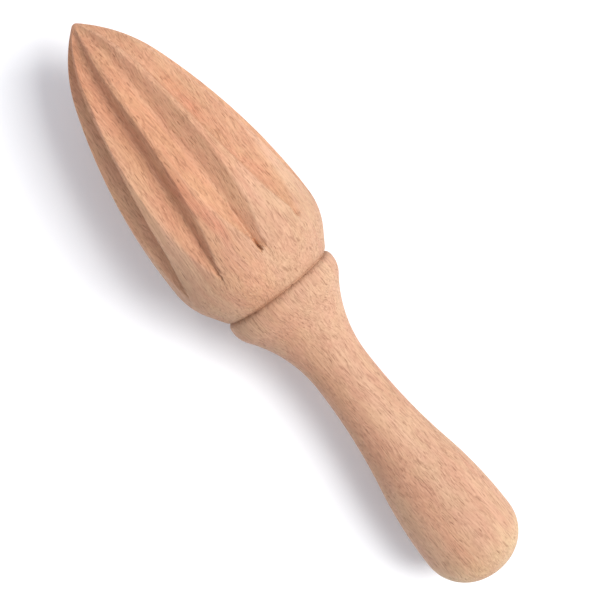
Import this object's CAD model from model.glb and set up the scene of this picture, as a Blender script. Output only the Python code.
import bpy, math
import numpy as np
from mathutils import Matrix, Vector, noise


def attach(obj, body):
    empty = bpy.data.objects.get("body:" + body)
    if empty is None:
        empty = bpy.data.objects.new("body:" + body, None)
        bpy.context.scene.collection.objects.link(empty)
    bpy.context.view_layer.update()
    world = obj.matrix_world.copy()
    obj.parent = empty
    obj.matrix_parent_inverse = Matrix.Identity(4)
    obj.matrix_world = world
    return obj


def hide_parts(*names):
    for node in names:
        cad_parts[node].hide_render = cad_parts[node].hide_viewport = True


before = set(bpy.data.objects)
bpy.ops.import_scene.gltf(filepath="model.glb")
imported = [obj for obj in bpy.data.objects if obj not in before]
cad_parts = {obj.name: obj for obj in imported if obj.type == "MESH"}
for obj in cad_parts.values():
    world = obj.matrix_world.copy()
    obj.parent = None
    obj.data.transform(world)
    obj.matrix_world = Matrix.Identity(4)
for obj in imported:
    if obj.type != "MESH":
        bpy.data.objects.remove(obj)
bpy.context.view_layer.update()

# ------------------------------------------------------------------
# driving sizes, in millimetres along the tool from the tip
# ------------------------------------------------------------------
HEAD_LEN, HEAD_R, WIDEST_S = 76.8, 19.9, 61.0
JOIN_S, JOIN_R, NOSE_R = 15.4, 11.6, 1.2
SHOULDER_S, SHOULDER_ARC, FOOT_ANGLE, FOOT_ROUND = 63.2, 17.0, 32.0, 1.7
N_FLUTE, WALL, ROOT, WEB, START = 10, 52.0, 1.4, 0.3, 9.9
KNEE_S, KNEE_R, SLOPE, SWEEP_S, SWEEP_ARC = 20.0, 9.9, 11.0, 44.5, 236.0
HANDLE_LEN, COLLAR_R, COLLAR_ROUND, COLLAR_S, JOINT_ROUND = 88.6, 15.0, 6.5, 2.4, 1.6
WAIST_S, WAIST_R, SWELL_ARC = HEAD_LEN + 25.8, 7.4, 149.0
BULB_S, BULB_R, END_ROUND = HEAD_LEN + 77.7, 12.55, 10.6
TENON_R, TENON_LEN, CHAMFER, GAP, WELL = 6.0, 20.0, 1.0, 0.05, 2.0
OVERALL = HEAD_LEN + HANDLE_LEN

rad = math.radians


def unit(v):
    v = np.array(v, float)
    return v / np.linalg.norm(v)


# ---- outlines, as (radius, distance from the tip) ----
drop = HEAD_R - JOIN_R
ogive_arc = ((WIDEST_S - JOIN_S) ** 2 + drop ** 2) / (2 * drop)
ogive_c = np.array([HEAD_R - ogive_arc, WIDEST_S])
join_slope = math.asin((WIDEST_S - JOIN_S) / ogive_arc)
tip_arc = ((JOIN_S - NOSE_R) ** 2 + JOIN_R ** 2 - NOSE_R ** 2) / (
    2 * (JOIN_R * math.cos(join_slope) - (JOIN_S - NOSE_R) * math.sin(join_slope) - NOSE_R))
tip_c = np.array([JOIN_R - tip_arc * math.cos(join_slope), JOIN_S + tip_arc * math.sin(join_slope)])
nose_c = np.array([0.0, NOSE_R])
nose_p = nose_c + NOSE_R * unit(nose_c - tip_c)
shoulder_c = np.array([HEAD_R - SHOULDER_ARC, SHOULDER_S])
fa = rad(FOOT_ANGLE)
foot_p = shoulder_c + SHOULDER_ARC * np.array([math.cos(fa), math.sin(fa)])
foot_c = np.array([foot_p[0] - (HEAD_LEN - FOOT_ROUND - foot_p[1]) * math.tan(fa) - FOOT_ROUND / math.cos(fa),
                   HEAD_LEN - FOOT_ROUND])
foot_q = foot_c + FOOT_ROUND * np.array([math.cos(fa), math.sin(fa)])

collar_c = np.array([COLLAR_R - COLLAR_ROUND, HEAD_LEN + COLLAR_S])
joint_c = np.array([collar_c[0] + math.sqrt((COLLAR_ROUND - JOINT_ROUND) ** 2 - (COLLAR_S - JOINT_ROUND) ** 2),
                    HEAD_LEN + JOINT_ROUND])
collar_p = collar_c + COLLAR_ROUND * unit(joint_c - collar_c)
flare_arc = ((WAIST_S - collar_c[1]) ** 2 + (WAIST_R - collar_c[0]) ** 2 - COLLAR_ROUND ** 2) / (
    2 * (COLLAR_ROUND - (WAIST_R - collar_c[0])))
flare_c = np.array([WAIST_R + flare_arc, WAIST_S])
flare_p = collar_c + COLLAR_ROUND * unit(flare_c - collar_c)
swell_sum = ((BULB_S - WAIST_S) ** 2 + (BULB_R - WAIST_R) ** 2) / (2 * (BULB_R - WAIST_R))
bulb_arc = swell_sum - SWELL_ARC
swell_c = np.array([WAIST_R + SWELL_ARC, WAIST_S])
bulb_c = np.array([BULB_R - bulb_arc, BULB_S])
swell_p = swell_c + SWELL_ARC * unit(bulb_c - swell_c)
end_c = np.array([BULB_R - END_ROUND, BULB_S])
end_left = OVERALL - end_c[1]
cap_r = (end_left ** 2 + end_c[0] ** 2 - END_ROUND ** 2) / (2 * (end_left - END_ROUND))
cap_c = np.array([0.0, OVERALL - cap_r])
cap_p = cap_c + cap_r * unit(end_c - cap_c)

# ---- root of a flute ----
kn = math.atan2(KNEE_R - WEB, KNEE_S)
sl = rad(SLOPE)
root_arc = math.hypot(KNEE_S, KNEE_R - WEB) / (2 * math.sin(kn - sl))
root_c = np.array([KNEE_R - root_arc * math.cos(sl), KNEE_S + root_arc * math.sin(sl)])
sweep_p = np.array([KNEE_R + (SWEEP_S - KNEE_S) * math.tan(sl), SWEEP_S])
sweep_c = sweep_p + SWEEP_ARC * np.array([math.cos(sl), -math.sin(sl)])

# ---- how the tool lies ----
dist = np.linalg.norm(end_c - shoulder_c)
TILT = math.asin((SHOULDER_ARC - END_ROUND) / dist) - math.atan2(end_c[0] - shoulder_c[0], end_c[1] - shoulder_c[1])
TIP_H = shoulder_c[1] * math.sin(TILT) + shoulder_c[0] * math.cos(TILT) + SHOULDER_ARC
X0 = -((NOSE_R * math.cos(TILT) - NOSE_R) + (cap_c[1] * math.cos(TILT) + cap_r)) / 2


def place(s, r, phi):
    """Tool coordinates (mm, mm, radians from the top towards +Y) to the frame, in metres."""
    up = r * np.cos(phi)
    x = X0 + s * math.cos(TILT) + up * math.sin(TILT)
    z = TIP_H - s * math.sin(TILT) + up * math.cos(TILT)
    return np.stack([x, r * np.sin(phi), z], -1) / 1000.0


def arc(c, a, b, n):
    """Points on the circle about c from a to b, a included, b left out."""
    a0 = math.atan2(a[1] - c[1], a[0] - c[0])
    a1 = math.atan2(b[1] - c[1], b[0] - c[0])
    a1 = a0 + (a1 - a0 + math.pi) % (2 * math.pi) - math.pi
    r0 = math.hypot(a[0] - c[0], a[1] - c[1])
    return [(c[0] + r0 * math.cos(a0 + (a1 - a0) * i / n), c[1] + r0 * math.sin(a0 + (a1 - a0) * i / n))
            for i in range(n)]


def line(a, b, n):
    return [(a[0] + (b[0] - a[0]) * i / n, a[1] + (b[1] - a[1]) * i / n) for i in range(n)]


def half_width(d):
    """Half width of the flute's section at depth coordinate d above the sharp root."""
    b = rad(WALL)
    dc = ROOT / math.sin(b)
    dt = ROOT * math.cos(b) ** 2 / math.sin(b)
    rnd = np.sqrt(np.maximum(ROOT ** 2 - (d - dc) ** 2, 0))
    return np.where(d < dt, np.where(d > dc - ROOT, rnd, -1.0), d * math.tan(b))


def depth(x, s):
    """Distance of a point of the flute's mid-plane above the sharp root line."""
    straight = (x - KNEE_R) * math.cos(sl) - (s - KNEE_S) * math.sin(sl)
    along = (x - KNEE_R) * math.sin(sl) + (s - KNEE_S) * math.cos(sl)
    past = (x - sweep_p[0]) * math.sin(sl) + (s - sweep_p[1]) * math.cos(sl)
    arcd = np.hypot(x - root_c[0], s - root_c[1]) - root_arc
    swept = SWEEP_ARC - np.hypot(x - sweep_c[0], s - sweep_c[1])
    return np.where(past > 0, swept, np.where(along > 0, straight, arcd))


def wall_radius(s, alpha):
    """Radius at which a ray at angle alpha from a flute's middle meets its wall."""
    lo = np.zeros_like(s * alpha)
    hi = np.full_like(lo, 40.0)
    sa, ca = np.abs(np.sin(alpha)), np.cos(alpha)
    for _ in range(34):
        mid = (lo + hi) / 2
        inside = half_width(depth(mid * ca, s)) >= mid * sa
        hi = np.where(inside, mid, hi)
        lo = np.where(inside, lo, mid)
    return hi


def soft_min(a, b, k):
    h = np.clip(0.5 + 0.5 * (b - a) / k, 0, 1)
    return b * (1 - h) + a * h - k * h * (1 - h)


def make_object(name, verts, faces, node, cut, seam, cap):
    me = bpy.data.meshes.new(name)
    me.from_pydata([tuple(v) for v in verts], [], faces)
    me.update()
    for key, values in (("cut", cut), ("seam", seam), ("cap", cap)):
        me.attributes.new(key, "FLOAT", "POINT").data.foreach_set("value", np.asarray(values, float))
    for p in me.polygons:
        p.use_smooth = True
    ob = bpy.data.objects.new(name, me)
    bpy.context.scene.collection.objects.link(ob)
    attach(ob, "root")
    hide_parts(node)
    return ob


def lathe(rows):
    """Closed mesh from rows (s, radii, angles); the first and last rows are single points on the axis."""
    ncol = len(rows[1][2])
    verts, faces = [], []
    for s, r, phi in rows:
        verts.extend(place(np.full(len(phi), s), r, phi))
    last = len(verts) - 1
    top = 1 + (len(rows) - 3) * ncol
    for j in range(ncol):
        j2 = (j + 1) % ncol
        faces.append((0, 1 + j, 1 + j2))
        faces.append((last, top + j2, top + j))
    for i in range(len(rows) - 3):
        a = 1 + i * ncol
        b = a + ncol
        for j in range(ncol):
            j2 = (j + 1) % ncol
            faces.append((a + j, b + j, b + j2, a + j2))
    return verts, faces


point = np.zeros(1)

# ------------------------------------------------------------------
# head
# ------------------------------------------------------------------
outer = (arc(nose_c, (0.0, 0.0), nose_p, 7)[1:]
         + arc(tip_c, nose_p, (JOIN_R, JOIN_S), 40)
         + arc(ogive_c, (JOIN_R, JOIN_S), (HEAD_R, WIDEST_S), 150)
         + line((HEAD_R, WIDEST_S), (HEAD_R, SHOULDER_S), 11)
         + arc(shoulder_c, (HEAD_R, SHOULDER_S), foot_p, 48)
         + line(foot_p, foot_q, 6) + arc(foot_c, foot_q, (foot_c[0], HEAD_LEN), 8))
SOCKET_R = TENON_R + GAP
# the groove's bottom is worn round: nothing there is narrower than this
GROOVE_R = 13.9
SOCKET_END = HEAD_LEN - TENON_LEN - WELL

HALF = math.pi / N_FLUTE
ROOT_T = np.array([0.34, 0.67, 1.0])
WALL_T = np.array([0.17, 0.35, 0.53, 0.7, 0.84, 0.94, 1.0])
LAND_T = np.array([0.06, 0.16, 0.3, 0.47, 0.65, 0.83, 1.0])


def edge_angle(s, r):
    """Angle from a flute's middle to the edge where its wall meets the turned surface."""
    lo, hi = 0.0, HALF
    if wall_radius(np.array(s), np.array(0.0)) >= r:
        return 0.0
    if wall_radius(np.array(s), np.array(HALF)) <= r:
        return HALF
    for _ in range(30):
        mid = (lo + hi) / 2
        if wall_radius(np.array(s), np.array(mid)) < r:
            lo = mid
        else:
            hi = mid
    return lo


def sector(s, r):
    """Angles of one flute's columns, from its middle to the middle of the next land, at station s."""
    e = edge_angle(s, r) if s < 70 else 0.0
    e = min(max(e, 1.6 / r if s > 40 else 0.0, rad(1.6)), HALF * 0.96)
    q = min(ROOT * math.cos(rad(WALL)) / max(r, 0.5), 0.4 * e)
    return np.concatenate([q * ROOT_T, q + (e - q) * WALL_T, e + (HALF - e) * LAND_T])


# The ends of the flutes, where the cutter left the wood: offset of the V from
# the flute's middle, station where it ends, depth, slopes of its two walls
BLUNT = {1: (0.0, 64.7, 1.0, 0.8, 0.8), 2: (0.3, 64.9, 1.2, 0.8, 1.3),
         3: (0.0, 64.4, 0.9, 0.8, 0.8), 4: (-0.3, 65.0, 1.3, 1.4, 0.78), 5: (0.2, 64.6, 1.0, 0.8, 0.9),
         6: (0.4, 64.9, 1.2, 0.78, 1.5), 7: (0.0, 64.5, 0.9, 0.8, 0.8)}
# Where it tore the fibres out: offset, half width, stations of its start and
# end, depth
TORN = [[(-0.95, 0.3, 57.5, 64.9, 2.1), (-1.85, 0.22, 58.0, 60.2, 1.1), (-1.3, 0.16, 63.5, 66.5, 0.5),
         (0.35, 0.14, 64.8, 66.3, 0.35)],
        [(0.1, 0.3, 60.5, 65.2, 0.9)], [(0.4, 0.3, 60.0, 65.3, 1.5)], [(0.0, 0.3, 60.5, 65.6, 0.7)],
        [(-0.4, 0.3, 60.5, 65.3, 1.6), (-1.2, 0.2, 61.0, 62.4, 0.8)], [(0.5, 0.3, 60.0, 65.2, 1.0)],
        [(0.5, 0.3, 60.2, 65.6, 1.4)], [(-0.1, 0.3, 60.5, 65.2, 0.8)],
        [(0.0, 0.35, 60.5, 65.4, 0.6)], [(0.0, 0.38, 59.5, 65.9, 0.9), (0.3, 0.7, 60.0, 64.6, 0.7)]]


def smooth(x):
    x = min(max(x, 0.0), 1.0)
    return x * x * (3 - 2 * x)


def torn(k, s, y, own):
    """Depth below the turned surface at the end of flute k, y mm from its middle.

    own is the flute's depth over its rounded root: towards the end the root is
    sharp, and in the first flute it drifts aside and stops at a blunt end.
    """
    fibre = noise.noise(Vector((y * 2.6 + 5.7 * k, 0.4, 1.5 + k)))
    rough = noise.noise(Vector((s * 0.45 + 2.3 * k, y * 3.4, 5.5 + k)))
    side = noise.noise(Vector((s * 0.35 + 4.1 * k, 0.7, 9.5 + k)))
    crisp = smooth((s - 48) / 8)
    worst = max(0.0, own + 0.38 * crisp - 0.78 * abs(y) if own > 0 and k else 0.0)
    if k == 0:
        drift = smooth((s - 50) / 13)
        deep = max(1.6, own + (0.38 + 0.65 * drift) * crisp)
        left = deep / max(0.62, max(own + 0.38, 0.0) / 0.78 - 0.85 * drift)
        slope = 0.77 * (y + 0.85 * drift) if y > -0.85 * drift else -left * (y + 0.85 * drift)
        worst = max(0.0, (deep - slope + 0.06 * rough) * (1 - smooth((s - 65.2 - 1.0 * fibre) / 0.9)))
    if k in BLUNT:
        y0, end, deep, left, right_ = BLUNT[k]
        along = smooth((s - 57.0) / 3.5) * (1 - smooth((s - end - 1.0 * fibre) / 0.9))
        slope = right_ * (y - y0) if y > y0 else left * (y0 - y)
        worst = max(worst, along * (deep - slope + 0.06 * rough))
    for y0, half, start, end, deep in TORN[k]:
        if s < start - 0.5 or s > end + 2.5 or abs(y - y0) > 2.5:
            continue
        along = smooth((s - start) / min(2.5, 0.6 * (end - start))) * (1 - smooth((s - end - 1.6 * fibre + 0.3) / 0.9))
        width = 1 - smooth((abs(y - y0 - 0.25 * side) / half - 0.6) / 0.7)
        worst = max(worst, deep * along * width * (0.85 + 0.6 * rough))
    return worst


rows = [(0.0, point, point)]
cut = [0.0]
for r, s in outer:
    r = max(r, GROOVE_R) if s > HEAD_LEN - 1.2 else r
    h = sector(s, r)
    a = np.concatenate([-h[::-1][1:], [0.0], h])
    phi, rr = [], []
    if s < 70:
        prof = soft_min(np.full(len(a), float(r)), wall_radius(np.full(len(a), s), a), min(0.16, 0.03 + 0.02 * r))
    else:
        prof = np.full(len(a), float(r))
    for k in range(N_FLUTE):
        phi.append(a + rad(START) + 2 * HALF * k)
        p = prof.copy()
        if 48 < s < 70:
            own = r - float(wall_radius(np.array(s), np.array(0.0)))
            p = soft_min(p, r - np.array([torn(k, s, x * r, own) for x in a]), 0.05)
        rr.append(p)
    rows.append((s, np.concatenate(rr), np.concatenate(phi)))
    # the narrow lands near the point have the walls' colour
    cut.extend(np.maximum(np.clip((r - np.concatenate(rr) - 0.04) / 0.5, 0, 1), 1 - smooth((s - 42) / 14)))
phi0 = rows[-1][2]
for r, s in ((GROOVE_R, HEAD_LEN), (SOCKET_R, HEAD_LEN), (SOCKET_R, SOCKET_END)):
    rows.append((s, np.full(len(phi0), r), phi0))
rows.append((SOCKET_END, point, point))
v, f = lathe(rows)
cut.extend([0.0] * (len(v) - len(cut)))


def near_joint(rows):
    out = []
    for s, r, phi in rows:
        d = s - HEAD_LEN - 0.3
        out.extend([math.exp(-(d / (1.6 if d < 0 else 1.0)) ** 2)] * len(phi))
    return out


head = make_object("head_wood", v, f, "reamer_head", cut, near_joint(rows), [0.0] * len(v))

# ------------------------------------------------------------------
# handle
# ------------------------------------------------------------------
ts = HEAD_LEN - TENON_LEN
hp = ([(TENON_R - CHAMFER, ts), (TENON_R, ts + CHAMFER), (TENON_R, HEAD_LEN)]
      + arc(joint_c, (joint_c[0], HEAD_LEN), collar_p, 8)
      + arc(collar_c, collar_p, flare_p, 24)
      + arc(flare_c, flare_p, (WAIST_R, WAIST_S), 40)
      + arc(swell_c, (WAIST_R, WAIST_S), swell_p, 30)
      + arc(bulb_c, swell_p, (BULB_R, BULB_S), 26) + arc(end_c, (BULB_R, BULB_S), cap_p, 26)
      + arc(cap_c, cap_p, (0.0, OVERALL), 12))
phi0 = np.arange(200) * 2 * math.pi / 200
hp = [(max(r, GROOVE_R) if HEAD_LEN - 0.01 < s < HEAD_LEN + 1.5 and r > TENON_R + 1 else r, s) for r, s in hp]
rows = ([(ts, point, point)] + [(s, np.full(200, r), phi0) for r, s in hp] + [(OVERALL, point, point)])
v, f = lathe(rows)
ends = [smooth((s - OVERALL + 14.0) / 9.0) for s, r, phi in rows for _ in phi]
grip = make_object("handle_wood", v, f, "handle", [0.0] * len(v), near_joint(rows), ends)


# ------------------------------------------------------------------
# beech
# ------------------------------------------------------------------
def beech(name, tint, shift, run, pith, heart, foot, patches=(), nicks=()):
    """Turned beech. The pattern is solid: x runs along the grain, in millimetres."""
    m = bpy.data.materials.new(name)
    m.use_nodes = True
    nt = m.node_tree
    nd, lk = nt.nodes, nt.links
    nd.clear()
    out = nd.new("ShaderNodeOutputMaterial")
    bs = nd.new("ShaderNodeBsdfPrincipled")
    lk.new(bs.outputs[0], out.inputs[0])

    def mapping(vec, loc=(0, 0, 0), rot=(0, 0, 0), scale=(1, 1, 1)):
        q = nd.new("ShaderNodeMapping")
        q.inputs["Location"].default_value = loc
        q.inputs["Rotation"].default_value = rot
        q.inputs["Scale"].default_value = scale
        lk.new(vec, q.inputs["Vector"])
        return q.outputs[0]

    def tex(vec, detail, rough=0.5, out_name="Fac"):
        q = nd.new("ShaderNodeTexNoise")
        q.inputs["Scale"].default_value = 1.0
        q.inputs["Detail"].default_value = detail
        q.inputs["Roughness"].default_value = rough
        lk.new(vec, q.inputs["Vector"])
        return q.outputs[out_name]

    def remap(x, a, b, c, d):
        q = nd.new("ShaderNodeMapRange")
        q.inputs[1].default_value, q.inputs[2].default_value = a, b
        q.inputs[3].default_value, q.inputs[4].default_value = c, d
        lk.new(x, q.inputs[0])
        return q.outputs[0]

    def mix(fac, a, b, mode="MIX"):
        q = nd.new("ShaderNodeMix")
        q.data_type = "RGBA"
        q.blend_type = mode
        if isinstance(fac, float):
            q.inputs[0].default_value = fac
        else:
            lk.new(fac, q.inputs[0])
        for i, x in ((6, a), (7, b)):
            if isinstance(x, tuple):
                q.inputs[i].default_value = x
            else:
                lk.new(x, q.inputs[i])
        return q.outputs[2]

    def op(kind, a, b):
        q = nd.new("ShaderNodeMath")
        q.operation = kind
        for i, x in ((0, a), (1, b)):
            if isinstance(x, (int, float)):
                q.inputs[i].default_value = x
            else:
                lk.new(x, q.inputs[i])
        return q.outputs[0]

    def add(a, b, fac):
        q = nd.new("ShaderNodeVectorMath")
        q.operation = "MULTIPLY_ADD"
        lk.new(a, q.inputs[0])
        q.inputs[1].default_value = fac
        lk.new(b, q.inputs[2])
        return q.outputs[0]

    tc = nd.new("ShaderNodeTexCoord")
    mm = mapping(tc.outputs["Object"], rot=(0, -TILT, 0), scale=(1000, 1000, 1000))
    aside = nd.new("ShaderNodeSeparateXYZ")
    lk.new(mm, aside.inputs[0])
    mm = mapping(mm, loc=shift, rot=run)
    # the fibres wander a little
    bend = tex(mapping(mm, scale=(0.045, 0.09, 0.09)), 2.0, 0.5, "Color")
    fib = add(bend, mm, (0.0, 3.2, 3.2))
    small = tex(mapping(mm, scale=(0.22, 0.5, 0.5)), 1.0, 0.5, "Color")
    fib = add(small, fib, (0.0, 0.5, 0.5))

    def grain(sx, sy, sz, detail, rough=0.5, off=0.0):
        """Noise whose features are sx by sy by sz mm."""
        return tex(mapping(fib, loc=(off, off * 0.7, -off), scale=(1 / sx, 1 / sy, 1 / sz)), detail, rough)

    light = tuple(c * k for c, k in zip(WOOD_LIGHT, tint)) + (1,)
    dark = tuple(c * k for c, k in zip(WOOD_DARK, tint)) + (1,)
    pale = tuple(min(c * k * 1.18, 0.95) for c, k in zip(WOOD_LIGHT, tint)) + (1,)
    pink = tuple(c * k for c, k in zip(WOOD_PINK, tint)) + (1,)
    pore = tuple(c * k for c, k in zip(WOOD_PORE, tint)) + (1,)
    # broad figure and growth rings about a pith outside the blank
    broad = grain(46, 8, 8, 3.0, 0.55)
    col = mix(remap(broad, 0.36, 0.66, 0.0, 0.55), light, dark)
    wave = nd.new("ShaderNodeTexWave")
    wave.wave_type = "RINGS"
    wave.rings_direction = "X"
    wave.inputs["Scale"].default_value = 0.095
    wave.inputs["Distortion"].default_value = 3.0
    wave.inputs["Detail"].default_value = 3
    wave.inputs["Detail Scale"].default_value = 0.06
    lk.new(mapping(fib, loc=pith, scale=(0.25, 1, 1)), wave.inputs["Vector"])
    col = mix(op("MULTIPLY", wave.outputs["Fac"], 0.2), col, dark)
    # a redder band that runs the length of the blank
    off = op("ABSOLUTE", op("SUBTRACT", op("ADD", aside.outputs[1], op("MULTIPLY", op("SUBTRACT", broad, 0.5), 9.0)),
                            heart[0]), 0.0)
    col = mix(remap(off, heart[1], heart[1] + 5.0, heart[2], 0.0), col, mix(1.0, col, (1.0, 0.85, 0.78, 1), "MULTIPLY"))
    # pinkish streaks
    streak = grain(22, 2.6, 4.0, 2.0, 0.5, 31.0)
    col = mix(remap(streak, 0.5, 0.7, 0.0, 0.6), col, pink)
    def mark(x0, y0, lean, half, inner, outer):
        """A spot along the fibres: its middle, the slope of its line, its half length, and its half width inside and out, in mm."""
        line_ = op("MULTIPLY_ADD", aside.outputs[0], -lean)
        line_.node.inputs[2].default_value = lean * x0 - y0
        dist = op("ABSOLUTE", op("ADD", aside.outputs[1], line_), 0.0)
        lengthways = remap(op("ABSOLUTE", op("SUBTRACT", aside.outputs[0], x0), 0.0), half * 0.6, half * 1.2, 1.0, 0.0)
        return op("MULTIPLY", remap(dist, inner, outer, 1.0, 0.0), lengthways)

    # pinkish patches
    for spot in patches:
        here = op("MULTIPLY", mark(*spot, 0.4, 2.2), remap(streak, 0.42, 0.62, 0.35, 1.0))
        col = mix(here, col, mix(1.0, col, (0.98, 0.80, 0.78, 1), "MULTIPLY"))
    # faint blotches, some yellower and some pinker
    blotch = remap(grain(8.0, 3.6, 3.6, 2.0, 0.5, 91.0), 0.4, 0.6, 0.0, 1.0)
    col = mix(1.0, col, mix(blotch, (1.0, 1.03, 1.0, 1), (1.0, 0.962, 0.975, 1)), "MULTIPLY")
    # fine fibres, light and dark
    hair = grain(14.0, 0.34, 0.6, 2.0, 0.6, 11.0)
    col = mix(remap(hair, 0.5, 0.66, 0.0, 0.42), col, dark)
    col = mix(remap(hair, 0.5, 0.34, 0.0, 0.4), col, pale)
    line = remap(grain(7.0, 0.25, 0.5, 2.0, 0.5, 5.0), 0.57, 0.68, 0.0, 1.0)
    col = mix(op("MULTIPLY", line, 0.16), col, pore)
    # the flecks: short dashes, and now and then a bigger one
    dash = remap(grain(2.6, 0.29, 0.9, 1.0, 0.5, 57.0), 0.585, 0.66, 0.0, 1.0)
    thin = remap(grain(1.5, 0.23, 0.6, 1.0, 0.5, 83.0), 0.56, 0.65, 0.0, 1.0)
    big = remap(grain(2.8, 0.42, 1.6, 1.0, 0.5, 23.0), 0.68, 0.74, 0.0, 1.0)
    col = mix(op("MULTIPLY", dash, 0.32), col, pore)
    col = mix(op("MULTIPLY", thin, 0.17), col, pore)
    col = mix(op("MULTIPLY", big, 0.5), col, pore)
    # small nicks
    nicked = None
    for spot in nicks:
        here = mark(*spot, 0.08, 0.34)
        nicked = here if nicked is None else op("MAXIMUM", nicked, here)
    col = mix(op("MULTIPLY", nicked, 0.45), col, pore)
    # the flutes are cut across the fibres and left unsanded: deeper and more orange
    def attribute(key):
        q = nd.new("ShaderNodeAttribute")
        q.attribute_name = key
        return q.outputs["Fac"]

    col = mix(attribute("cut"), col, mix(1.0, col, (1.0, 0.94, 0.89, 1), "MULTIPLY"))
    # the shoulder and the foot open the fibres' ends, most at the sides of the blank
    open_ = op("MULTIPLY", remap(aside.outputs[0], -32.0, -19.0, 0.0, foot),
               remap(op("ABSOLUTE", aside.outputs[1], 0.0), 3.0, 15.0, 0.35, 1.0))
    col = mix(open_, col, mix(1.0, col, (0.86, 0.86, 0.84, 1), "MULTIPLY"))
    # paler end grain on the domed end
    col = mix(attribute("cap"), col, mix(1.0, col, (1.03, 1.15, 1.09, 1), "MULTIPLY"))
    # grime that sits in the groove
    patchy = remap(grain(2.2, 2.2, 2.2, 2.0, 0.5, 47.0), 0.35, 0.7, 0.1, 0.38)
    col = mix(op("MULTIPLY", attribute("seam"), patchy), col, (0.27, 0.14, 0.085, 1))
    lk.new(col, bs.inputs["Base Color"])
    lk.new(remap(broad, 0.3, 0.7, 0.56, 0.7), bs.inputs["Roughness"])
    bs.inputs["Specular IOR Level"].default_value = 0.22
    h = op("SUBTRACT", op("MULTIPLY", hair, 0.5), op("MULTIPLY", dash, 0.55))
    h = op("SUBTRACT", h, op("MULTIPLY", thin, 0.25))
    h = op("SUBTRACT", h, op("MULTIPLY", line, 0.25))
    h = op("SUBTRACT", h, op("MULTIPLY", big, 0.7))
    h = op("SUBTRACT", h, op("MULTIPLY", nicked, 0.9))
    # the scraper's faint uneven passes
    h = op("ADD", h, op("MULTIPLY", grain(5.0, 3.5, 3.5, 2.0, 0.6, 71.0), 1.2))
    bp = nd.new("ShaderNodeBump")
    bp.inputs["Strength"].default_value = 0.5
    bp.inputs["Distance"].default_value = 0.00028
    lk.new(h, bp.inputs["Height"])
    lk.new(bp.outputs[0], bs.inputs["Normal"])
    return m


WOOD_LIGHT = (0.575, 0.348, 0.222)
WOOD_DARK = (0.465, 0.250, 0.156)
WOOD_PINK = (0.500, 0.262, 0.166)
WOOD_PORE = (0.232, 0.099, 0.053)
head.data.materials.append(beech("beech_head", (1.1, 1.1, 1.1), (13.0, 4.0, 2.0), (0.0, rad(2), rad(1.5)),
                                 (0.0, 55.0, 30.0), (-4.0, 2.0, 0.8), 1.0,
                                 ((-27.0, 14.6, 0.2, 9.0), (-56.0, 9.8, 0.1, 8.0), (-34.0, -3.0, 0.12, 10.0)),
                                 ((-15.6, 9.5, 0.1, 1.0), (-14.8, 10.4, 0.1, 0.6), (-11.2, 4.1, 0.25, 1.0),
                                  (-10.6, 4.9, 0.0, 0.45), (-22.8, 1.7, 0.1, 0.9))))
grip.data.materials.append(beech("beech_handle", (1.0, 1.0, 1.0), (231.0, 17.0, 9.0), (0.0, rad(-3), rad(-4)),
                                 (0.0, -50.0, 40.0), (-4.0, 1.0, 0.6), 0.0, (),
                                 ((74.0, 5.4, 0.1, 1.3), (61.0, 7.0, 0.1, 0.9), (45.0, 1.2, 0.0, 0.9))))

# ------------------------------------------------------------------
# floor, light and camera
# ------------------------------------------------------------------
fm = bpy.data.meshes.new("floor")
fm.from_pydata([(-3, -3, 0), (3, -3, 0), (3, 3, 0), (-3, 3, 0)], [], [(0, 1, 2, 3)])
floor = bpy.data.objects.new("floor", fm)
bpy.context.scene.collection.objects.link(floor)
fmat = bpy.data.materials.new("pale_floor")
fmat.use_nodes = True
fb = fmat.node_tree.nodes["Principled BSDF"]
fb.inputs["Base Color"].default_value = (0.96, 0.96, 0.955, 1)
fb.inputs["Roughness"].default_value = 0.9
fm.materials.append(fmat)

LEAN = rad(8.13) - TILT
ROLL = rad(52.25)
back = Vector((-math.sin(LEAN), 0, math.cos(LEAN)))
ax = Vector((math.cos(LEAN), 0, math.sin(LEAN)))
ay = back.cross(ax)
right = math.cos(ROLL) * ax + math.sin(ROLL) * ay
upv = -math.sin(ROLL) * ax + math.cos(ROLL) * ay
t = place(np.array(82.65), np.array(0.0), np.array(0.0))
target = Vector((t[0], 0.00246, t[2]))
cam = bpy.data.cameras.new("camera")
cam.sensor_width = 36
cam.lens = 36 * 0.3 / 0.1433
cam.clip_start = 0.01
co = bpy.data.objects.new("camera", cam)
M = Matrix((right, upv, back)).transposed().to_4x4()
M.translation = target + back * 0.3
co.matrix_world = M
bpy.context.scene.collection.objects.link(co)
bpy.context.scene.camera = co


def area(name, direction, distance, size, power):
    li = bpy.data.lights.new(name, "AREA")
    li.size = size
    li.energy = power
    o = bpy.data.objects.new(name, li)
    pos = target + direction.normalized() * distance
    o.location = pos
    o.rotation_euler = (target - pos).to_track_quat("-Z", "Y").to_euler()
    bpy.context.scene.collection.objects.link(o)
    return o


across = math.sin(ROLL) * right + math.cos(ROLL) * upv
down = math.cos(ROLL) * right - math.sin(ROLL) * upv
area("key", across * 0.5 + down * 0.34 + back * 0.84, 0.9, 0.5, 8.6)
w = bpy.data.worlds.new("studio")
w.use_nodes = True
w.node_tree.nodes["Background"].inputs[0].default_value = (0.95, 0.98, 1.07, 1)
w.node_tree.nodes["Background"].inputs[1].default_value = 0.64
bpy.context.scene.world = w
bpy.context.scene.view_settings.view_transform = "Standard"
